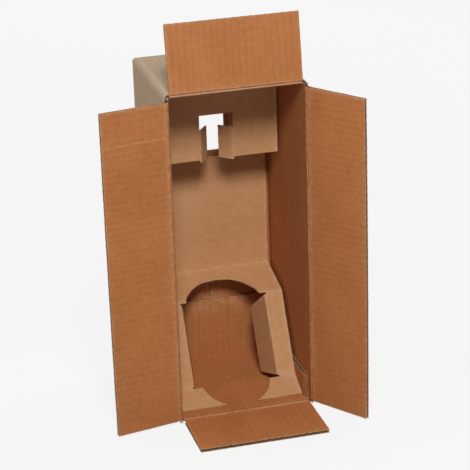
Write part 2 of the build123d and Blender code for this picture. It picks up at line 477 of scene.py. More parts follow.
def crease_lip(parts, crease, angle, reach, height, towards_board, slot):
    """The crushed end of a board, from its liner down to the roll at the crease."""
    v = crease.steps()
    radius = np.linspace(LIP_START, math.hypot(reach, height), 6)
    rr, vv = np.meshgrid(radius, v, indexing="ij")
    upper = crease.around(np.full_like(rr, angle), rr, vv)
    inset = 0.06 * MM * (1 + ragged(vv, 9)) * (rr - LIP_START) / (2 * MM)
    lower = crease.around(angle + towards_board * (STRIP_THICKNESS + inset) / rr, rr, vv)
    uv = np.stack([rr, vv], axis=-1)
    # Drawn pale: partly rubbed wear, partly a painted highlight along the crease.
    worn = np.full_like(rr, 0.5)
    parts.add_slab(upper, lower, uv, worn, (slot, FLUTE_FACE, CUT_FACE))


def rolled_crease(name, materials):
    """A crease that turns through more than half a turn: two lips against a small roll."""
    crease = creases[name]
    inner = math.atan2(CREASE_INSIDE, INNER_REACH)
    outer = math.atan2(CREASE_INSET, OUTER_REACH)
    fixed_side, moving_side = MeshParts(), MeshParts()
    inner_size = (INNER_REACH, CREASE_INSIDE)
    outer_size = (OUTER_REACH, CREASE_INSET)
    turned = crease.open
    crease_lip(fixed_side, crease, math.pi - inner, *inner_size, 1, INNER_FACE)
    crease_lip(fixed_side, crease, outer - math.pi, *outer_size, -1, OUTER_FACE)
    crease_lip(moving_side, crease, inner - turned, *inner_size, -1, INNER_FACE)
    crease_lip(moving_side, crease, -outer - turned, *outer_size, 1, OUTER_FACE)
    v = crease.steps()
    for start, end, slot in ((0, 160, INNER_FACE), (-200, 0, OUTER_FACE)):
        turn = np.radians(np.linspace(start, end, 13))
        tt, vv = np.meshgrid(turn, v, indexing="ij")
        radius = ROLL_RADIUS + 0.05 * MM * ragged(vv, 5)
        upper = crease.around(tt, radius, vv)
        lower = crease.around(tt, np.full_like(tt, ROLL_INSIDE), vv)
        uv = np.stack([tt * MM, vv], axis=-1)
        # The roll is drawn paler still: a painted highlight on the crease ridge, with rubbed
        # wear.
        worn = np.full_like(tt, 0.6)
        fixed_side.add_slab(upper, lower, uv, worn, (slot, FLUTE_FACE, CUT_FACE))
    for parts, side, body in ((fixed_side, "wall", "carton"), (moving_side, "flap", name)):
        piece = parts.build(f"{name}_{side}_crease", materials)
        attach(piece, body)


# ---------------------------------------------------------------- carton walls
WALL_BEND = 2.7 * MM
OUTER_BEND = WALL_BEND + CREASE_INSET
WALL_CUT = 0.2 * MM


def along_wall(start, last):
    """Distances along a wall's flutes, closer together near its crease."""
    near = [start + x * MM for x in (0, 1, 2.5, 5, 9)]
    return np.array(near + list(np.linspace(start + 18 * MM, last, 9)))


def around_bend(run):
    bend = WALL_BEND * math.pi / 2
    return [run + bend * t for t in np.linspace(0, 1, 7)]


def wall_board(origin, across, inward, run, flap_reach, halves, flutes, v_steps, seed):
    """A wall and the rear flap that folds from it.

    halves are half the width of the wall's inside, of its outside and of the flap.
    """
    inside, outside, flap = halves
    bend_end = run + WALL_BEND * math.pi / 2
    rear = [bend_end + x * MM for x in (3, 12, 30, 50)] + [bend_end + flap_reach]
    tail = around_bend(run)[1:] + rear

    def edges(u, wall):
        half = np.interp(u, [run, bend_end], [wall, flap])
        return -half, half

    parts = MeshParts()
    board = Board(bent_path(origin, (0, 1, 0), inward, run, WALL_BEND), across)
    u_inner = np.concatenate([along_wall(INNER_REACH, run), tail])
    u_outer = np.concatenate([along_wall(OUTER_REACH, run), tail])
    sides = (u_inner, edges(u_inner, inside), u_outer, edges(u_outer, outside))
    board.add_liners(parts, *sides, v_steps, seed, WALL_CUT)
    u_flutes = np.concatenate([[OUTER_REACH, run], tail])
    board.add_flutes(parts, u_flutes, -flutes, flutes, seed, WALL_CUT)
    return parts


def side_board(side):
    """A side wall and the outer rear flap that folds from it, down to the rear seam."""
    origin = (side * (HALF_WIDTH - CREASE_INSET), MAJOR_AXIS_Y, HEIGHT / 2)
    run = REAR - OUTER_BEND - MAJOR_AXIS_Y
    reach = HALF_WIDTH - OUTER_BEND - REAR_SEAM
    inside = CEILING - HEIGHT / 2
    halves = (inside, HEIGHT / 2 - OUTER_BEND, HEIGHT / 2 - REAR_SLOT)
    return wall_board(
        origin, (0, 0, 1), (-side, 0, 0), run, reach, halves, inside, 90, 20 + side
    )


def lid_board(side):
    """The top or bottom wall and the inner rear flap that folds from it."""
    origin = (0, MINOR_AXIS_Y, HEIGHT - CREASE_INSET if side > 0 else CREASE_INSET)
    run = REAR - BOARD - OUTER_BEND - MINOR_AXIS_Y
    reach = FLAP_LENGTH - OUTER_BEND + CREASE_INSET
    flap = INNER_HALF - SIDE_GAP
    halves = (INNER_HALF, HALF_WIDTH - OUTER_BEND, flap)
    return wall_board(
        origin, (1, 0, 0), (0, 0, -side), run, reach, halves, flap, 60, 30 + side
    )


def corner_beads():
    """The rounded outer liner along the four long folds between the walls."""
    parts = MeshParts()
    for sx in (-1, 1):
        for sz in (-1, 1):
            centre_x = sx * (HALF_WIDTH - OUTER_BEND)
            centre_z = HEIGHT / 2 + sz * (HEIGHT / 2 - OUTER_BEND)
            turn = np.linspace(0, math.pi / 2, 9)
            share = np.linspace(0, 1, 24)
            tt, ss = np.meshgrid(turn, share, indexing="ij")
            part = tt / (math.pi / 2)
            front = MAJOR_AXIS_Y + (MINOR_AXIS_Y - MAJOR_AXIS_Y) * part + OUTER_REACH
            front = front + 0.3 * MM * ragged(tt * 0.01, 3 * sx + sz)
            back = REAR - OUTER_BEND - BOARD * part
            y = front + (back - front) * ss**1.5

            def ring(radius):
                x = centre_x + sx * radius * np.cos(tt)
                z = centre_z + sz * radius * np.sin(tt)
                return np.stack([x, y, z], axis=-1)

            uv = np.stack([y, centre_z + OUTER_BEND * tt], axis=-1)
            worn = 0.05 + 0.5 * np.exp(-(y - front) / (2 * MM))
            slots = (OUTER_FACE, FLUTE_FACE, CUT_FACE)
            parts.add_slab(ring(OUTER_BEND), ring(OUTER_BEND - LINER), uv, worn, slots)
    return parts


def glue_tab():
    """The bottom panel's tab, folded up and glued inside the right wall."""
    parts = MeshParts()
    layer_x = INNER_HALF - BOARD + CREASE_INSET
    front = MINOR_AXIS_Y + TAB_END_INSET
    back = REAR - 2 * BOARD - TAB_END_INSET
    path = straight_path((layer_x, front, BOARD), (0, 1, 0), (1, 0, 0))
    board = Board(path, (0, 0, 1), crush=6 * MM)
    length = back - front
    u = np.concatenate([[0, 1 * MM, 3 * MM, 8 * MM], np.linspace(20 * MM, length, 8)])
    share = np.linspace(0, 1, 24)
    for height, slot, seed in (
        (CREASE_INSIDE, FLUTE_FACE, 41),
        (LINER - CREASE_INSET, INNER_FACE, 42),
    ):
        uu, vv = np.meshgrid(u, share * TAB_HEIGHT, indexing="ij")
        taper = TAB_TAPER * vv / TAB_HEIGHT
        uu = taper + uu * (length - 2 * taper) / length
        uu = uu + (u < 1e-6)[:, None] * 0.35 * MM * ragged(vv, seed)
        vv = vv + (share > 0.999)[None, :] * 0.2 * MM * ragged(uu, seed)
        worn = np.exp(-(TAB_HEIGHT - vv) / (1.5 * MM)) + np.exp(-(uu - taper) / (1.5 * MM))
        top = np.full_like(uu, height)
        uv = np.stack([uu, vv], axis=-1)
        parts.add_slab(
            board.place(uu, vv, top),
            board.place(uu, vv, top - LINER),
            uv,
            np.clip(worn, 0, 1),
            (FLUTE_FACE, slot, CUT_FACE),
        )
    flutes = np.array([0.4 * MM + TAB_TAPER, length - TAB_TAPER])
    board.add_flutes(parts, flutes, 0.4 * MM, TAB_HEIGHT - 0.6 * MM, 43, 0.3 * MM)
    return parts


def cut_away(piece, cutters):
    """Cuts the shapes out of a piece; cut faces take the cutter's material."""
    for cutter in cutters:
        cut = piece.modifiers.new("cut", "BOOLEAN")
        cut.object = cutter
        cut.operation = "DIFFERENCE"
        cut.solver = "EXACT"
    graph = bpy.context.evaluated_depsgraph_get()
    mesh = bpy.data.meshes.new_from_object(piece.evaluated_get(graph))
    piece.modifiers.clear()
    piece.data = mesh
    for cutter in cutters:
        bpy.data.objects.remove(cutter)


def cutter_from(points, faces, material):
    mesh = bpy.data.meshes.new("cutter")
    mesh.from_pydata([tuple(p) for p in points], [], faces)
    mesh.uv_layers.new(name="sheet")
    mesh.attributes.new("worn", "FLOAT", "POINT")
    mesh.materials.append(material)
    mesh.update()
    return placed("cutter", mesh)


def prism(outline, low, high, place, material):
    """A closed prism over an outline, between two distances along its axis."""
    count = len(outline)
    points = [place(a, b, low) for a, b in outline] + [place(a, b, high) for a, b in outline]
    faces = [tuple(range(count))[::-1], tuple(range(count, 2 * count))]
    for i in range(count):
        j = (i + 1) % count
        faces.append((i, j, count + j, count + i))
    cutter = cutter_from(points, faces, material)
    turn_outward(cutter.data)
    return cutter


def cut_box(x_low, x_high, y_low, y_high, z_low, z_high, material):
    outline = [(x_low, z_low), (x_high, z_low), (x_high, z_high), (x_low, z_high)]
    return prism(outline, y_low, y_high, lambda x, z, y: (x, y, z), material)


def joined(pieces, name):
    """One piece made of several."""
    merged = bmesh.new()
    for piece in pieces:
        merged.from_mesh(piece.data)
    first = pieces[0]
    mesh = bpy.data.meshes.new(name)
    merged.to_mesh(mesh)
    merged.free()
    for material in first.data.materials:
        mesh.materials.append(material)
    for piece in pieces:
        bpy.data.objects.remove(piece)
    return placed(name, mesh)


def opening_cutter(front, material):
    """Cuts the rear opening, from a distance in front of the outer rear face."""
    return cut_box(
        -OPENING_HALF,
        OPENING_HALF,
        REAR - front,
        REAR + BOARD,
        OPENING_SILL,
        OPENING_HEAD,
        material,
    )


def make_carton(materials):
    """The walls, rear flaps and glue tab, cut through at the rear opening."""
    cut_material = materials[CUT_FACE]
    walls = []
    for number, side in enumerate((-1, 1)):
        wall = side_board(side).build(f"side_{number}", materials)
        cut_away(wall, [opening_cutter(1.5 * BOARD, cut_material)])
        walls.append(wall)
    for number, side in enumerate((-1, 1)):
        lid = lid_board(side).build(f"lid_{number}", materials)
        if side > 0:
            cut_away(lid, [opening_cutter(4 * BOARD, cut_material)])
        walls.append(lid)
    walls.append(corner_beads().build("beads", materials))
    walls.append(glue_tab().build("tab", materials))
    piece = joined(walls, "carton_board")
    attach(piece, "carton")
    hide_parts("carton_body")
    return piece


# ---------------------------------------------------------------- torn fibres and flecks
def torn_flake(parts, centre, across, upward, outward, size, seed, slot):
    """A small ragged scrap of liner that stands away from a torn corner."""
    draw = random.Random(seed)
    across, upward, outward = (Vector(x).normalized() for x in (across, upward, outward))
    rows, columns = 5, 6
    upper = np.zeros((rows, columns, 3))
    for r in range(rows):
        reach = r / (rows - 1)
        for c in range(columns):
            side = c / (columns - 1) - 0.5
            width = 1 - 0.45 * reach + draw.uniform(-0.22, 0.22)
            lift = reach * draw.uniform(0.15, 0.55)
            length = reach * (1 + draw.uniform(-0.35, 0.35))
            point = (
                Vector(centre)
                + across * side * width * size
                + upward * length * size
                + outward * lift * size * 0.6
            )
            upper[r, c] = point
    lower = upper - np.array(outward) * 0.22 * MM
    uv = np.stack(np.meshgrid(np.arange(rows), np.arange(columns), indexing="ij"), -1) * MM
    worn = np.full((rows, columns), 1.0)
    parts.add_slab(upper, lower, uv.astype(float), worn, (slot, FLUTE_FACE, CUT_FACE))


def mouth_tears(materials):
    """Ragged paper at the four corners of the mouth, where the slots end."""
    parts = MeshParts()
    seed = 100
    for sx in (-1, 1):
        for at_top in (False, True):
            z = HEIGHT - 2.2 * MM if at_top else 2.4 * MM
            up = 1 if at_top else -1
            for number in range(5):
                seed += 1
                draw = random.Random(seed * 7)
                centre = (
                    sx * (INNER_HALF + draw.uniform(0.2, 3.0) * MM),
                    MAJOR_AXIS_Y + draw.uniform(0.8, 3.6) * MM,
                    z + draw.uniform(-1.4, 0.8) * MM * up,
                )
                heading = (
                    -sx * draw.uniform(-0.7, 0.9),
                    -draw.uniform(0.3, 1.0),
                    up * draw.uniform(-0.5, 0.6),
                )
                across = Vector(heading).cross(Vector((0.2, 0.3, 1.0)))
                outward = across.cross(Vector(heading))
                face = (OUTER_FACE, INNER_FACE, CUT_FACE)[number % 3]
                size = draw.uniform(1.6, 3.0) * MM
                torn_flake(parts, centre, across, heading, outward, size, seed, face)
    piece = parts.build("mouth_tears", materials)
    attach(piece, "carton")
    return piece


def wall_flecks(materials):
    """Small lifted fibres in a row on the right wall, near the rear corner."""
    parts = MeshParts()
    for number in range(11):
        draw = random.Random(500 + number)
        share = number / 10
        centre = (
            INNER_HALF - 0.05 * MM,
            REAR - BOARD - (9 + draw.uniform(-1.5, 1.5)) * MM,
            (300 - 68 * share + draw.uniform(-2, 2)) * MM,
        )
        size = draw.uniform(0.8, 1.9) * MM
        up = (0, draw.uniform(-0.6, 0.6), draw.choice((-1, 1)))
        torn_flake(parts, centre, (0, 1, 0.2), up, (-1, 0, 0), size, 600 + number, CUT_FACE)
    piece = parts.build("wall_flecks", materials)
    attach(piece, "carton")
    return piece


# ================================================================ insert
SHEET_FRONT, SHEET_BACK, SHEET_CUT = range(3)


def turn_left(v):
    return Vector((-v.y, v.x))


def filleted(points, radius, arc_steps, spacing):
    """Points along a folded line, with an arc at each fold and even steps between."""
    line = [np.array(points[0])]
    for before, at, after in zip(points, points[1:], points[2:]):
        into = (at - before).normalized()
        out = (after - at).normalized()
        turn = math.acos(max(-1, min(1, into.dot(out))))
        setback = radius * math.tan(turn / 2)
        normal = turn_left(into) if turn_left(into).dot(out) > 0 else -turn_left(into)
        centre = at - into * setback + normal * radius
        begin = at - into * setback
        count = max(2, int((Vector(line[-1]) - begin).length / spacing))
        for k in range(1, count):
            line.append(np.array(Vector(line[-1]).lerp(begin, 1 / (count - k + 1))))
        for k in range(arc_steps + 1):
            angle = turn * k / arc_steps
            arm = -normal * math.cos(angle) + into * math.sin(angle)
            line.append(np.array(centre + arm * radius))
    last = points[-1]
    count = max(2, int((Vector(line[-1]) - last).length / spacing))
    for k in range(1, count + 1):
        line.append(np.array(Vector(line[-1]).lerp(last, 1 / (count - k + 1))))
    return np.array(line)


def line_normals(line):
    """Unit vectors to the left of a line of points."""
    step = np.gradient(line, axis=0)
    step /= np.linalg.norm(step, axis=1)[:, None]
    return np.stack([-step[:, 1], step[:, 0]], axis=1)


SECTION_CORNERS = [
    Vector((LOWER_EDGE_Y, BOARD)),
    LOWER_FOLD,
    MIDDLE_FOLD,
    Vector((INSERT_BACK, SHELF_BACK_Z)),
    Vector((INSERT_BACK, INSERT_TOP)),
    Vector((NECK_PANEL_Y, INSERT_TOP)),
    Vector((NECK_PANEL_Y, NECK_PANEL_FOOT)),
]


def mid_sheet_corners():
    """The section's corners, moved from the sheet's outer face to its middle."""
    normals = [
        turn_left((b - a).normalized()) for a, b in zip(SECTION_CORNERS, SECTION_CORNERS[1:])
    ]
    moved = [SECTION_CORNERS[0] + normals[0] * SHEET / 2]
    for point, n0, n1 in zip(SECTION_CORNERS[1:-1], normals, normals[1:]):
        moved.append(point + (n0 + n1) * (SHEET / 2 / (1 + n0.dot(n1))))
    moved.append(SECTION_CORNERS[-1] + normals[-1] * SHEET / 2)
    return moved


def folded_sheet(materials):
    """The long sheet, folded across its width."""
    line = filleted(mid_sheet_corners(), FOLD_RADIUS, 5, 6 * MM)
    normals = line_normals(line)
    travelled = np.concatenate([[0], np.cumsum(np.linalg.norm(np.diff(line, axis=0), axis=1))])
    x = np.linspace(-INSERT_HALF, INSERT_HALF, 60)
    ss, xx = np.meshgrid(travelled, x, indexing="ij")
    from_fold = np.full_like(travelled, 1.0)
    corners = mid_sheet_corners()
    for corner in corners[1:-1]:
        gap = np.linalg.norm(line - np.array(corner), axis=1)
        from_fold = np.minimum(from_fold, gap)
    free = np.clip((from_fold - 3 * MM) / (25 * MM), 0, 1)[:, None]
    uneven = 0.45 * MM * free * wobble(ss, xx, 4)
    near_side = np.minimum(xx + INSERT_HALF, INSERT_HALF - xx)
    edge = (near_side < 1e-6) * 0.2 * MM * ragged(ss, 6) * np.sign(xx)
    worn = np.exp(-near_side / (1.5 * MM)) + 0.8 * np.exp(-from_fold / (1.6 * MM))[:, None]
    parts = MeshParts()
    sides = []
    for sign in (1, -1):
        offset = uneven + sign * SHEET / 2
        y = line[:, 0, None] + normals[:, 0, None] * offset
        z = line[:, 1, None] + normals[:, 1, None] * offset
        sides.append(np.stack([xx + edge, y, z], axis=-1))
    uv = np.stack([ss, xx], axis=-1)
    parts.add_slab(*sides, uv, np.clip(worn, 0, 1), (SHEET_FRONT, SHEET_BACK, SHEET_CUT))
    return parts.build("sheet", materials)


def bent_flap(parts, start, into, backward, along, width, turn, reach_low, reach_high, seed):
    """A flap that runs on from a cut edge and turns back through an angle.

    into is the way the sheet runs at the edge, backward is where the flap turns to, and
    along is the fold line; reach_low and reach_high give the flap's ends on that line.
    """
    start, into, backward, along = (np.array(x, float) for x in (start, into, backward, along))
    bend = turn * FOLD_RADIUS
    u = np.concatenate([np.linspace(0, bend, 7), np.linspace(bend, width, 16)[1:]])
    angle = np.minimum(u / FOLD_RADIUS, turn)
    straight = np.maximum(u - bend, 0)
    forward = FOLD_RADIUS * np.sin(angle) + straight * math.cos(turn)
    back = FOLD_RADIUS * (1 - np.cos(angle)) + straight * math.sin(turn)
    share = np.linspace(0, 1, 24)
    low = np.array([reach_low(x) for x in u])
    high = np.array([reach_high(x) for x in u])
    vv = low[:, None] + (high - low)[:, None] * share
    uu = np.repeat(u[:, None], len(share), axis=1)
    free = np.clip(straight / width, 0, 1)[:, None] ** 2
    uneven = 0.6 * MM * free * wobble(uu, vv, seed)
    base = start + into * forward[:, None] + backward * back[:, None]
    normal = backward * np.cos(angle)[:, None] - into * np.sin(angle)[:, None]
    ragged_end = (uu > width - 1e-6) * 0.25 * MM * ragged(vv, seed)
    heading = into * np.cos(angle)[:, None] + backward * np.sin(angle)[:, None]
    sides = []
    for sign in (1, -1):
        point = base[:, None, :] + along * vv[..., None]
        point = point + heading[:, None, :] * ragged_end[..., None]
        sides.append(point + normal[:, None, :] * (uneven + sign * SHEET / 2)[..., None])
    rim = np.minimum(vv - vv[:, :1], vv[:, -1:] - vv)
    worn = np.exp(-rim / (1.2 * MM)) + np.exp(-(width - uu) / (1.2 * MM))
    worn = worn + 0.7 * np.exp(-(((uu - bend / 2) / (1.5 * MM)) ** 2))
    uv = np.stack([uu, vv], axis=-1)
    parts.add_slab(*sides, uv, np.clip(worn, 0, 1), (SHEET_BACK, SHEET_FRONT, SHEET_CUT))


def insert_flaps(materials):
    """The two neck flaps and the two braces."""
    parts = MeshParts()
    neck_foot = NECK_PANEL_FOOT - NECK_FLAP_OVERHANG
    for side in (-1, 1):
        turn = math.radians(90 - NECK_FLAP_TURN_IN[side])
        bent_flap(
            parts,
            (side * NECK_SLOT_HALF, NECK_PANEL_Y + SHEET / 2, neck_foot),
            (-side, 0, 0),
            (0, 1, 0),
            (0, 0, 1),
            NECK_FLAP_WIDTH,
            turn,
            lambda u: 0.0,
            lambda u: NECK_FLAP_HEIGHT,
            50 + side,
        )
    slope = (MIDDLE_FOLD - LOWER_FOLD).normalized()
    length = (MIDDLE_FOLD - LOWER_FOLD).length - 2 * BRACE_END_GAP
    front_normal = turn_left(slope)
    start = LOWER_FOLD + front_normal * SHEET / 2 + slope * BRACE_END_GAP
    for side in (-1, 1):
        bent_flap(
            parts,
            (side * BOTTLE_CUT_HALF, start.x, start.y),
            (-side, 0, 0),
            (0, -front_normal.x, -front_normal.y),
            (0, slope.x, slope.y),
            BRACE_WIDTH,
            math.radians(90 - BRACE_TURN_IN),
            lambda u: BRACE_CORNER * u / BRACE_WIDTH,
            lambda u: length - BRACE_CORNER * u / BRACE_WIDTH,
            60 + side,
        )
    return parts.build("flaps", materials)


def upright_cutter(centre_y, radius, low, high, material):
    """A standing round cutter, with a slightly uneven outline."""
    outline = []
    for k in range(72):
        angle = 2 * math.pi * k / 72
        reach = radius + 0.3 * MM * math.sin(7 * angle) + 0.2 * MM * math.sin(17 * angle)
        outline.append((reach * math.cos(angle), centre_y + reach * math.sin(angle)))
    return prism(outline, low, high, lambda x, y, z: (x, y, z), material)


def make_insert(materials):
    sheet = folded_sheet(materials)
    cut = materials[SHEET_CUT]
    slope = (MIDDLE_FOLD - LOWER_FOLD).normalized()
    normal = turn_left(slope)
    reach = (MIDDLE_FOLD - LOWER_FOLD).length
    slab = [(0, -5 * MM), (reach, -5 * MM), (reach, 6 * MM), (0, 6 * MM)]

    def on_slope(along, out, x):
        point = LOWER_FOLD + slope * along + normal * out
        return (x, point.x, point.y)

    window = OPENING_HALF + BACK_WINDOW_MARGIN
    cutters = [
        cut_box(
            -NECK_SLOT_HALF,
            NECK_SLOT_HALF,
            NECK_PANEL_Y - BOARD,
            NECK_PANEL_Y + BOARD,
            NECK_PANEL_FOOT - BOARD,
            NECK_SLOT_HEAD,
            cut,
        ),
        cut_box(
            -window,
            window,
            INSERT_BACK - BOARD,
            INSERT_BACK + BOARD,
            OPENING_SILL - BACK_WINDOW_MARGIN,
            OPENING_HEAD + BACK_WINDOW_MARGIN,
            cut,
        ),
        prism(slab, -BOTTLE_CUT_HALF, BOTTLE_CUT_HALF, on_slope, cut),
        upright_cutter(*BASE_CUT, 0, LOWER_FOLD.y + 2 * SHEET, cut),
        upright_cutter(*SHOULDER_CUT, MIDDLE_FOLD.y - 2 * SHEET, SHELF_BACK_Z + BOARD, cut),
    ]
    cut_away(sheet, cutters)
    piece = joined([sheet, insert_flaps(materials)], "insert_sheet")
    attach(piece, "carton")
    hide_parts("bottle_insert")
    return piece


# ================================================================ shared surface effects
def new_group(name, inputs, outputs):
    """A node group of plain numbers: inputs with their usual values, and outputs."""
    group = bpy.data.node_groups.new(name, "ShaderNodeTree")
    number = "NodeSocketFloat"
    for label, value in inputs.items():
        socket = group.interface.new_socket(label, in_out="INPUT", socket_type=number)
        socket.default_value = value
    for label in outputs:
        group.interface.new_socket(label, in_out="OUTPUT", socket_type=number)
    return group, group.nodes.new("NodeGroupInput"), group.nodes.new("NodeGroupOutput")


def math_node(tree, operation, a, b=None, clamp=False):
    node = tree.nodes.new("ShaderNodeMath")
    node.operation = operation
    node.use_clamp = clamp
    for socket, value in zip(node.inputs, (a, b)):
        if value is None:
            continue
        if isinstance(value, (int, float)):
            socket.default_value = value
        else:
            tree.links.new(value, socket)
    return node.outputs[0]


def noise(tree, vector, scale, detail, roughness=0.55):
    node = tree.nodes.new("ShaderNodeTexNoise")
    node.inputs["Scale"].default_value = scale
    node.inputs["Detail"].default_value = detail
    node.inputs["Roughness"].default_value = roughness
    tree.links.new(vector, node.inputs["Vector"])
    return node.outputs["Fac"]


def ranged(tree, value, low, high, to_low=0.0, to_high=1.0):
    node = tree.nodes.new("ShaderNodeMapRange")
    node.clamp = True
    for socket, number in zip(node.inputs[1:5], (low, high, to_low, to_high)):
        socket.default_value = number
    tree.links.new(value, node.inputs[0])
    return node.outputs[0]


def object_place(tree):
    return tree.nodes.new("ShaderNodeTexCoord").outputs["Object"]


def sheet_place(tree):
    node = tree.nodes.new("ShaderNodeUVMap")
    node.uv_map = "sheet"
    return node.outputs[0]


def paper_grain_group():
    """Fibres, soft blotches and specks of kraft paper."""
    group, given, result = new_group(
        "paper_grain",
        {"Fibre Scale": 1.0, "Blotch Scale": 1.0},
        ("Fibre", "Blotch", "Dark Speck", "Pale Speck"),
    )
    links = group.links
    place = object_place(group)

    def scaled(vector, factors, by=None):
        node = group.nodes.new("ShaderNodeVectorMath")
        node.operation = "MULTIPLY"
        links.new(vector, node.inputs[0])
        node.inputs[1].default_value = factors
        if by is None:
            return node.outputs[0]
        size = group.nodes.new("ShaderNodeVectorMath")
        size.operation = "SCALE"
        links.new(node.outputs[0], size.inputs[0])
        links.new(by, size.inputs["Scale"])
        return size.outputs[0]

    along = scaled(sheet_place(group), (1.0, 0.22, 1.0), given.outputs["Fibre Scale"])
    fine = noise(group, along, 1500, 3, 0.6)
    coarse = noise(group, along, 420, 3, 0.6)
    fibre = math_node(group, "MULTIPLY", fine, 0.5)
    fibre = math_node(group, "ADD", fibre, math_node(group, "MULTIPLY", coarse, 0.5))
    links.new(fibre, result.inputs["Fibre"])
    around = scaled(place, (1.0, 1.0, 1.0), given.outputs["Blotch Scale"])
    blotch = noise(group, around, 16, 3)
    small = noise(group, around, 170, 3)
    blotch = math_node(group, "MULTIPLY", blotch, 0.5)
    blotch = math_node(group, "ADD", blotch, math_node(group, "MULTIPLY", small, 0.5))
    links.new(blotch, result.inputs["Blotch"])
    dark = ranged(group, noise(group, place, 640, 1), 0.70, 0.76)
    pale = ranged(group, noise(group, scaled(place, (1.0, 1.0, 0.93)), 470, 1), 0.71, 0.78)
    links.new(dark, result.inputs["Dark Speck"])
    links.new(pale, result.inputs["Pale Speck"])
    return group


def flute_lines_group():
    """The faint lines that the flutes press through a liner: bumps, and a painted highlight
    along the ridges.
    """
    group, given, result = new_group("flute_lines", {"Pitch": FLUTE_PITCH}, ("Line",))
    split = group.nodes.new("ShaderNodeSeparateXYZ")
    group.links.new(sheet_place(group), split.inputs[0])
    turns = math_node(group, "DIVIDE", split.outputs[1], given.outputs["Pitch"])
    wave = math_node(group, "SINE", math_node(group, "MULTIPLY", turns, 2 * math.pi))
    unit = math_node(group, "MULTIPLY", math_node(group, "ADD", wave, 1.0), 0.5)
    place = object_place(group)
    fade = ranged(group, noise(group, place, 22, 2), 0.3, 0.7, 0.35, 1.0)
    group.links.new(math_node(group, "MULTIPLY", unit, fade), result.inputs["Line"])
    return group


def edge_wear_and_highlight_group():
    """Rubbed cut edges and folds, with a painted highlight along the creases, broken up so
    that they are uneven.
    """
    group, given, result = new_group("edge_wear", {"Amount": 1.0}, ("Worn",))
    worn = group.nodes.new("ShaderNodeAttribute")
    worn.attribute_name = "worn"
    place = object_place(group)
    patchy = ranged(group, noise(group, place, 160, 3), 0.35, 0.65, 0.15, 1.0)
    value = math_node(group, "MULTIPLY", worn.outputs["Fac"], patchy)
    value = math_node(group, "MULTIPLY", value, given.outputs["Amount"], clamp=True)
    group.links.new(value, result.inputs["Worn"])
    return group


def scuff_group():
    """Faint rubbed streaks from handling."""
    group, given, result = new_group("scuffs", {"Amount": 1.0}, ("Scuff",))
    turned = group.nodes.new("ShaderNodeMapping")
    turned.inputs["Rotation"].default_value = (0, 0, 0.35)
    turned.inputs["Scale"].default_value = (1.0, 0.09, 1.0)
    group.links.new(sheet_place(group), turned.inputs["Vector"])
    streak = ranged(group, noise(group, turned.outputs[0], 260, 2), 0.62, 0.78)
    place = object_place(group)
    where = ranged(group, noise(group, place, 11, 2), 0.5, 0.65)
    value = math_node(group, "MULTIPLY", streak, where)
    value = math_node(group, "MULTIPLY", value, given.outputs["Amount"], clamp=True)
    group.links.new(value, result.inputs["Scuff"])
    return group


EFFECTS = {
    "grain": paper_grain_group(),
    "lines": flute_lines_group(),
    "wear": edge_wear_and_highlight_group(),
    "scuffs": scuff_group(),
}


BUMP_STRENGTH = 0.5
BUMP_DEPTH = 0.3 * MM


class Paint:
    """Builds one paper material, layer by layer."""

    def __init__(self, name):
        self.material = bpy.data.materials.new(name)
        self.material.use_nodes = True
        self.tree = self.material.node_tree
        self.shader = self.tree.nodes["Principled BSDF"]
        self.colour = None
        self.height = None

    def effect(self, name, **settings):
        node = self.tree.nodes.new("ShaderNodeGroup")
        node.node_tree = EFFECTS[name]
        for label, value in settings.items():
            node.inputs[label.replace("_", " ")].default_value = value
        return node

    def blend(self, below, above, mask, strength=1.0):
        """Lays one colour over another where the mask is high."""
        node = self.tree.nodes.new("ShaderNodeMix")
        node.data_type = "RGBA"
        amount = math_node(self.tree, "MULTIPLY", mask, strength)
        self.tree.links.new(amount, node.inputs[0])
        for socket, value in ((node.inputs[6], below), (node.inputs[7], above)):
            if isinstance(value, tuple):
                socket.default_value = (*value, 1)
            else:
                self.tree.links.new(value, socket)
        return node.outputs[2]

    def raise_by(self, value, amount):
        step = math_node(self.tree, "MULTIPLY", value, amount)
        if self.height is None:
            self.height = step
        else:
            self.height = math_node(self.tree, "ADD", self.height, step)

    def finish(self, rough, rough_from, spread):
        tree, shader = self.tree, self.shader
        tree.links.new(self.colour, shader.inputs["Base Color"])
        low, high = rough - spread, rough + spread
        roughness = ranged(tree, rough_from, 0.3, 0.7, low, high)
        tree.links.new(roughness, shader.inputs["Roughness"])
        bump = tree.nodes.new("ShaderNodeBump")
        bump.inputs["Strength"].default_value = BUMP_STRENGTH
        bump.inputs["Distance"].default_value = BUMP_DEPTH
        tree.links.new(self.height, bump.inputs["Height"])
        tree.links.new(bump.outputs[0], shader.inputs["Normal"])
        shader.inputs["Specular IOR Level"].default_value = 0.22
        return self.material


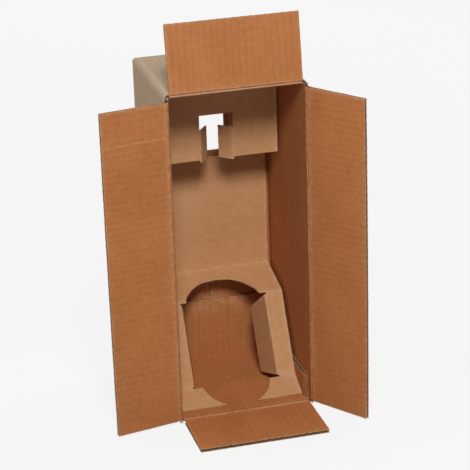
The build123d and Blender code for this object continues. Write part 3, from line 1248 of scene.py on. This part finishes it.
def paper(name, base, dark, pale, worn, lines=0.0, wear=1.0, scuffs=0.6, specks=0.5):
    """Kraft paper: blotches and fibres, flute lines with a painted highlight, specks, scuffs,
    and rubbed edges with a painted highlight along the creases.
    """
    paint = Paint(name)
    grain = paint.effect("grain")
    blotch = ranged(paint.tree, grain.outputs["Blotch"], 0.36, 0.64)
    colour = paint.blend(dark, base, blotch)
    fibre = ranged(paint.tree, grain.outputs["Fibre"], 0.5, 0.72)
    colour = paint.blend(colour, pale, fibre, 0.32)
    low_fibre = ranged(paint.tree, grain.outputs["Fibre"], 0.5, 0.3)
    colour = paint.blend(colour, dark, low_fibre, 0.45)
    paint.raise_by(grain.outputs["Fibre"], 0.35)
    if lines:
        line = paint.effect("lines").outputs["Line"]
        # Paler along the flute lines: a painted highlight on the washboard ridges; the bump
        # below gives the real relief.
        colour = paint.blend(colour, pale, line, 0.22 * lines)
        paint.raise_by(line, 0.5 * lines)
    speck = tuple(0.35 * c for c in dark)
    colour = paint.blend(colour, speck, grain.outputs["Dark Speck"], specks)
    colour = paint.blend(colour, pale, grain.outputs["Pale Speck"], specks)
    if scuffs:
        scuff = paint.effect("scuffs", Amount=scuffs).outputs["Scuff"]
        colour = paint.blend(colour, worn, scuff, 0.35)
    # Rubbed wear on cut edges and folds, with a painted highlight along the creases, in the
    # pale colour.
    edge = paint.effect("wear", Amount=wear).outputs["Worn"]
    paint.colour = paint.blend(colour, worn, edge, 0.75)
    paint.raise_by(edge, -0.3)
    return paint.finish(0.82, grain.outputs["Blotch"], 0.07)


def make_materials():
    inner = paper(
        "kraft_inside",
        base=(0.500, 0.186, 0.062),
        dark=(0.405, 0.140, 0.042),
        pale=(0.600, 0.262, 0.105),
        worn=(0.660, 0.350, 0.175),
        lines=0.9,
        specks=0.15,
    )
    outer = paper(
        "kraft_outside",
        base=(0.470, 0.335, 0.215),
        dark=(0.400, 0.275, 0.170),
        pale=(0.560, 0.430, 0.300),
        worn=(0.600, 0.480, 0.350),
        lines=0.9,
    )
    flute = paper(
        "flute_paper",
        base=(0.330, 0.160, 0.070),
        dark=(0.240, 0.110, 0.045),
        pale=(0.440, 0.240, 0.120),
        worn=(0.460, 0.270, 0.140),
        scuffs=0.0,
    )
    cut = paper(
        "cut_edge",
        base=(0.560, 0.360, 0.205),
        dark=(0.440, 0.260, 0.135),
        pale=(0.680, 0.500, 0.330),
        worn=(0.720, 0.560, 0.400),
        scuffs=0.0,
    )
    insert = paper(
        "insert_kraft",
        base=(0.600, 0.325, 0.155),
        dark=(0.520, 0.265, 0.118),
        pale=(0.690, 0.425, 0.235),
        worn=(0.690, 0.460, 0.280),
        specks=0.2,
    )
    insert_cut = paper(
        "insert_cut_edge",
        base=(0.640, 0.420, 0.240),
        dark=(0.520, 0.320, 0.170),
        pale=(0.740, 0.560, 0.380),
        worn=(0.760, 0.590, 0.420),
        scuffs=0.0,
    )
    return [inner, outer, flute, cut], [insert, insert, insert_cut]


# ================================================================ the object
board_materials, insert_materials = make_materials()
make_carton(board_materials)
for number, flap_name in enumerate(creases):
    make_flap(flap_name, 5 + 3 * number, board_materials)
    if flap_name == "top_flap":
        rolled_crease(flap_name, board_materials)
        continue
    crease_strip(flap_name, "inner", 70 + number, board_materials)
    crease_strip(flap_name, "outer", 80 + number, board_materials)
mouth_tears(board_materials)
wall_flecks(board_materials)
make_insert(insert_materials)


# ================================================================ floor, light and camera
def seen_directly(tree):
    """1 for rays from the camera, from a reflection or through glass."""
    seen = tree.nodes.new("ShaderNodeLightPath").outputs
    share = math_node(tree, "ADD", seen["Is Camera Ray"], seen["Is Glossy Ray"])
    return math_node(tree, "ADD", share, seen["Is Transmission Ray"], clamp=True)


FLOOR_GREY = 0.55
FLOOR_GLOW = 0.85
FLOOR_REACH = 6.0
SOFT_LIGHT = 0.05


def floor_material():
    """A pale floor that is nearly white to the camera and still takes a shadow."""
    material = bpy.data.materials.new("floor")
    material.use_nodes = True
    tree = material.node_tree
    tree.nodes.clear()
    surface = tree.nodes.new("ShaderNodeBsdfDiffuse")
    surface.inputs["Color"].default_value = (FLOOR_GREY, FLOOR_GREY, FLOOR_GREY, 1)
    glow = tree.nodes.new("ShaderNodeEmission")
    mix = tree.nodes.new("ShaderNodeMixShader")
    tree.links.new(math_node(tree, "MULTIPLY", seen_directly(tree), FLOOR_GLOW), mix.inputs[0])
    tree.links.new(surface.outputs[0], mix.inputs[1])
    tree.links.new(glow.outputs[0], mix.inputs[2])
    out = tree.nodes.new("ShaderNodeOutputMaterial")
    tree.links.new(mix.outputs[0], out.inputs["Surface"])
    return material


def make_floor():
    mesh = bpy.data.meshes.new("floor")
    reach = FLOOR_REACH
    corners = [(-reach, -reach), (reach, -reach), (reach, reach), (-reach, reach)]
    mesh.from_pydata([(x, y, 0.0) for x, y in corners], [], [(0, 1, 2, 3)])
    mesh.materials.append(floor_material())
    floor = placed("floor", mesh)


def aim(thing, target):
    thing.rotation_mode = "QUATERNION"
    direction = Vector(target) - thing.location
    thing.rotation_quaternion = direction.to_track_quat("-Z", "Y")


def add_light(name, place, target, size, power):
    data = bpy.data.lights.new(name, "AREA")
    data.shape = "DISK"
    data.size = size
    data.energy = power
    light = placed(name, data)
    light.location = place
    aim(light, target)


def make_world():
    world = bpy.data.worlds.new("studio")
    bpy.context.scene.world = world
    world.use_nodes = True
    tree = world.node_tree
    tree.nodes.clear()
    shades = []
    for strength in (SOFT_LIGHT, 1.0):
        shade = tree.nodes.new("ShaderNodeBackground")
        shade.inputs["Color"].default_value = (1, 1, 1, 1)
        shade.inputs["Strength"].default_value = strength
        shades.append(shade.outputs[0])
    mix = tree.nodes.new("ShaderNodeMixShader")
    tree.links.new(seen_directly(tree), mix.inputs[0])
    tree.links.new(shades[0], mix.inputs[1])
    tree.links.new(shades[1], mix.inputs[2])
    out = tree.nodes.new("ShaderNodeOutputWorld")
    tree.links.new(mix.outputs[0], out.inputs["Surface"])


CAMERA_TARGET = Vector((-0.0071, -0.0800, 0.2202))
CAMERA_DISTANCE = 2.189
CAMERA_TO_LEFT = math.radians(14.63)
CAMERA_ABOVE = math.radians(21.57)
CAMERA_ROLL = math.radians(-1.96)


def make_camera():
    level = math.cos(CAMERA_ABOVE)
    back = Vector(
        (
            -math.sin(CAMERA_TO_LEFT) * level,
            -math.cos(CAMERA_TO_LEFT) * level,
            math.sin(CAMERA_ABOVE),
        )
    )
    right = Vector((0, 0, 1)).cross(back).normalized()
    up = back.cross(right)
    rolled_right = right * math.cos(CAMERA_ROLL) + up * math.sin(CAMERA_ROLL)
    rolled_up = up * math.cos(CAMERA_ROLL) - right * math.sin(CAMERA_ROLL)
    data = bpy.data.cameras.new("camera")
    data.lens = 151.6
    data.sensor_width = 36
    camera = placed("camera", data)
    turn = Matrix((rolled_right, rolled_up, back)).transposed().to_4x4()
    camera.matrix_world = Matrix.Translation(CAMERA_TARGET + back * CAMERA_DISTANCE) @ turn
    bpy.context.scene.camera = camera


make_floor()
make_world()
make_camera()
middle = (0, 0, HEIGHT / 2)
add_light("key", (-0.28, -1.55, 1.66), middle, 0.55, 34)
add_light("left_fill", (-2.10, 0.55, 1.10), middle, 1.4, 17)
add_light("right_fill", (1.90, 0.80, 1.10), middle, 1.4, 16)
add_light("back_fill", (0.30, 2.20, 1.20), middle, 1.4, 16)

bpy.context.scene.view_settings.view_transform = "Standard"
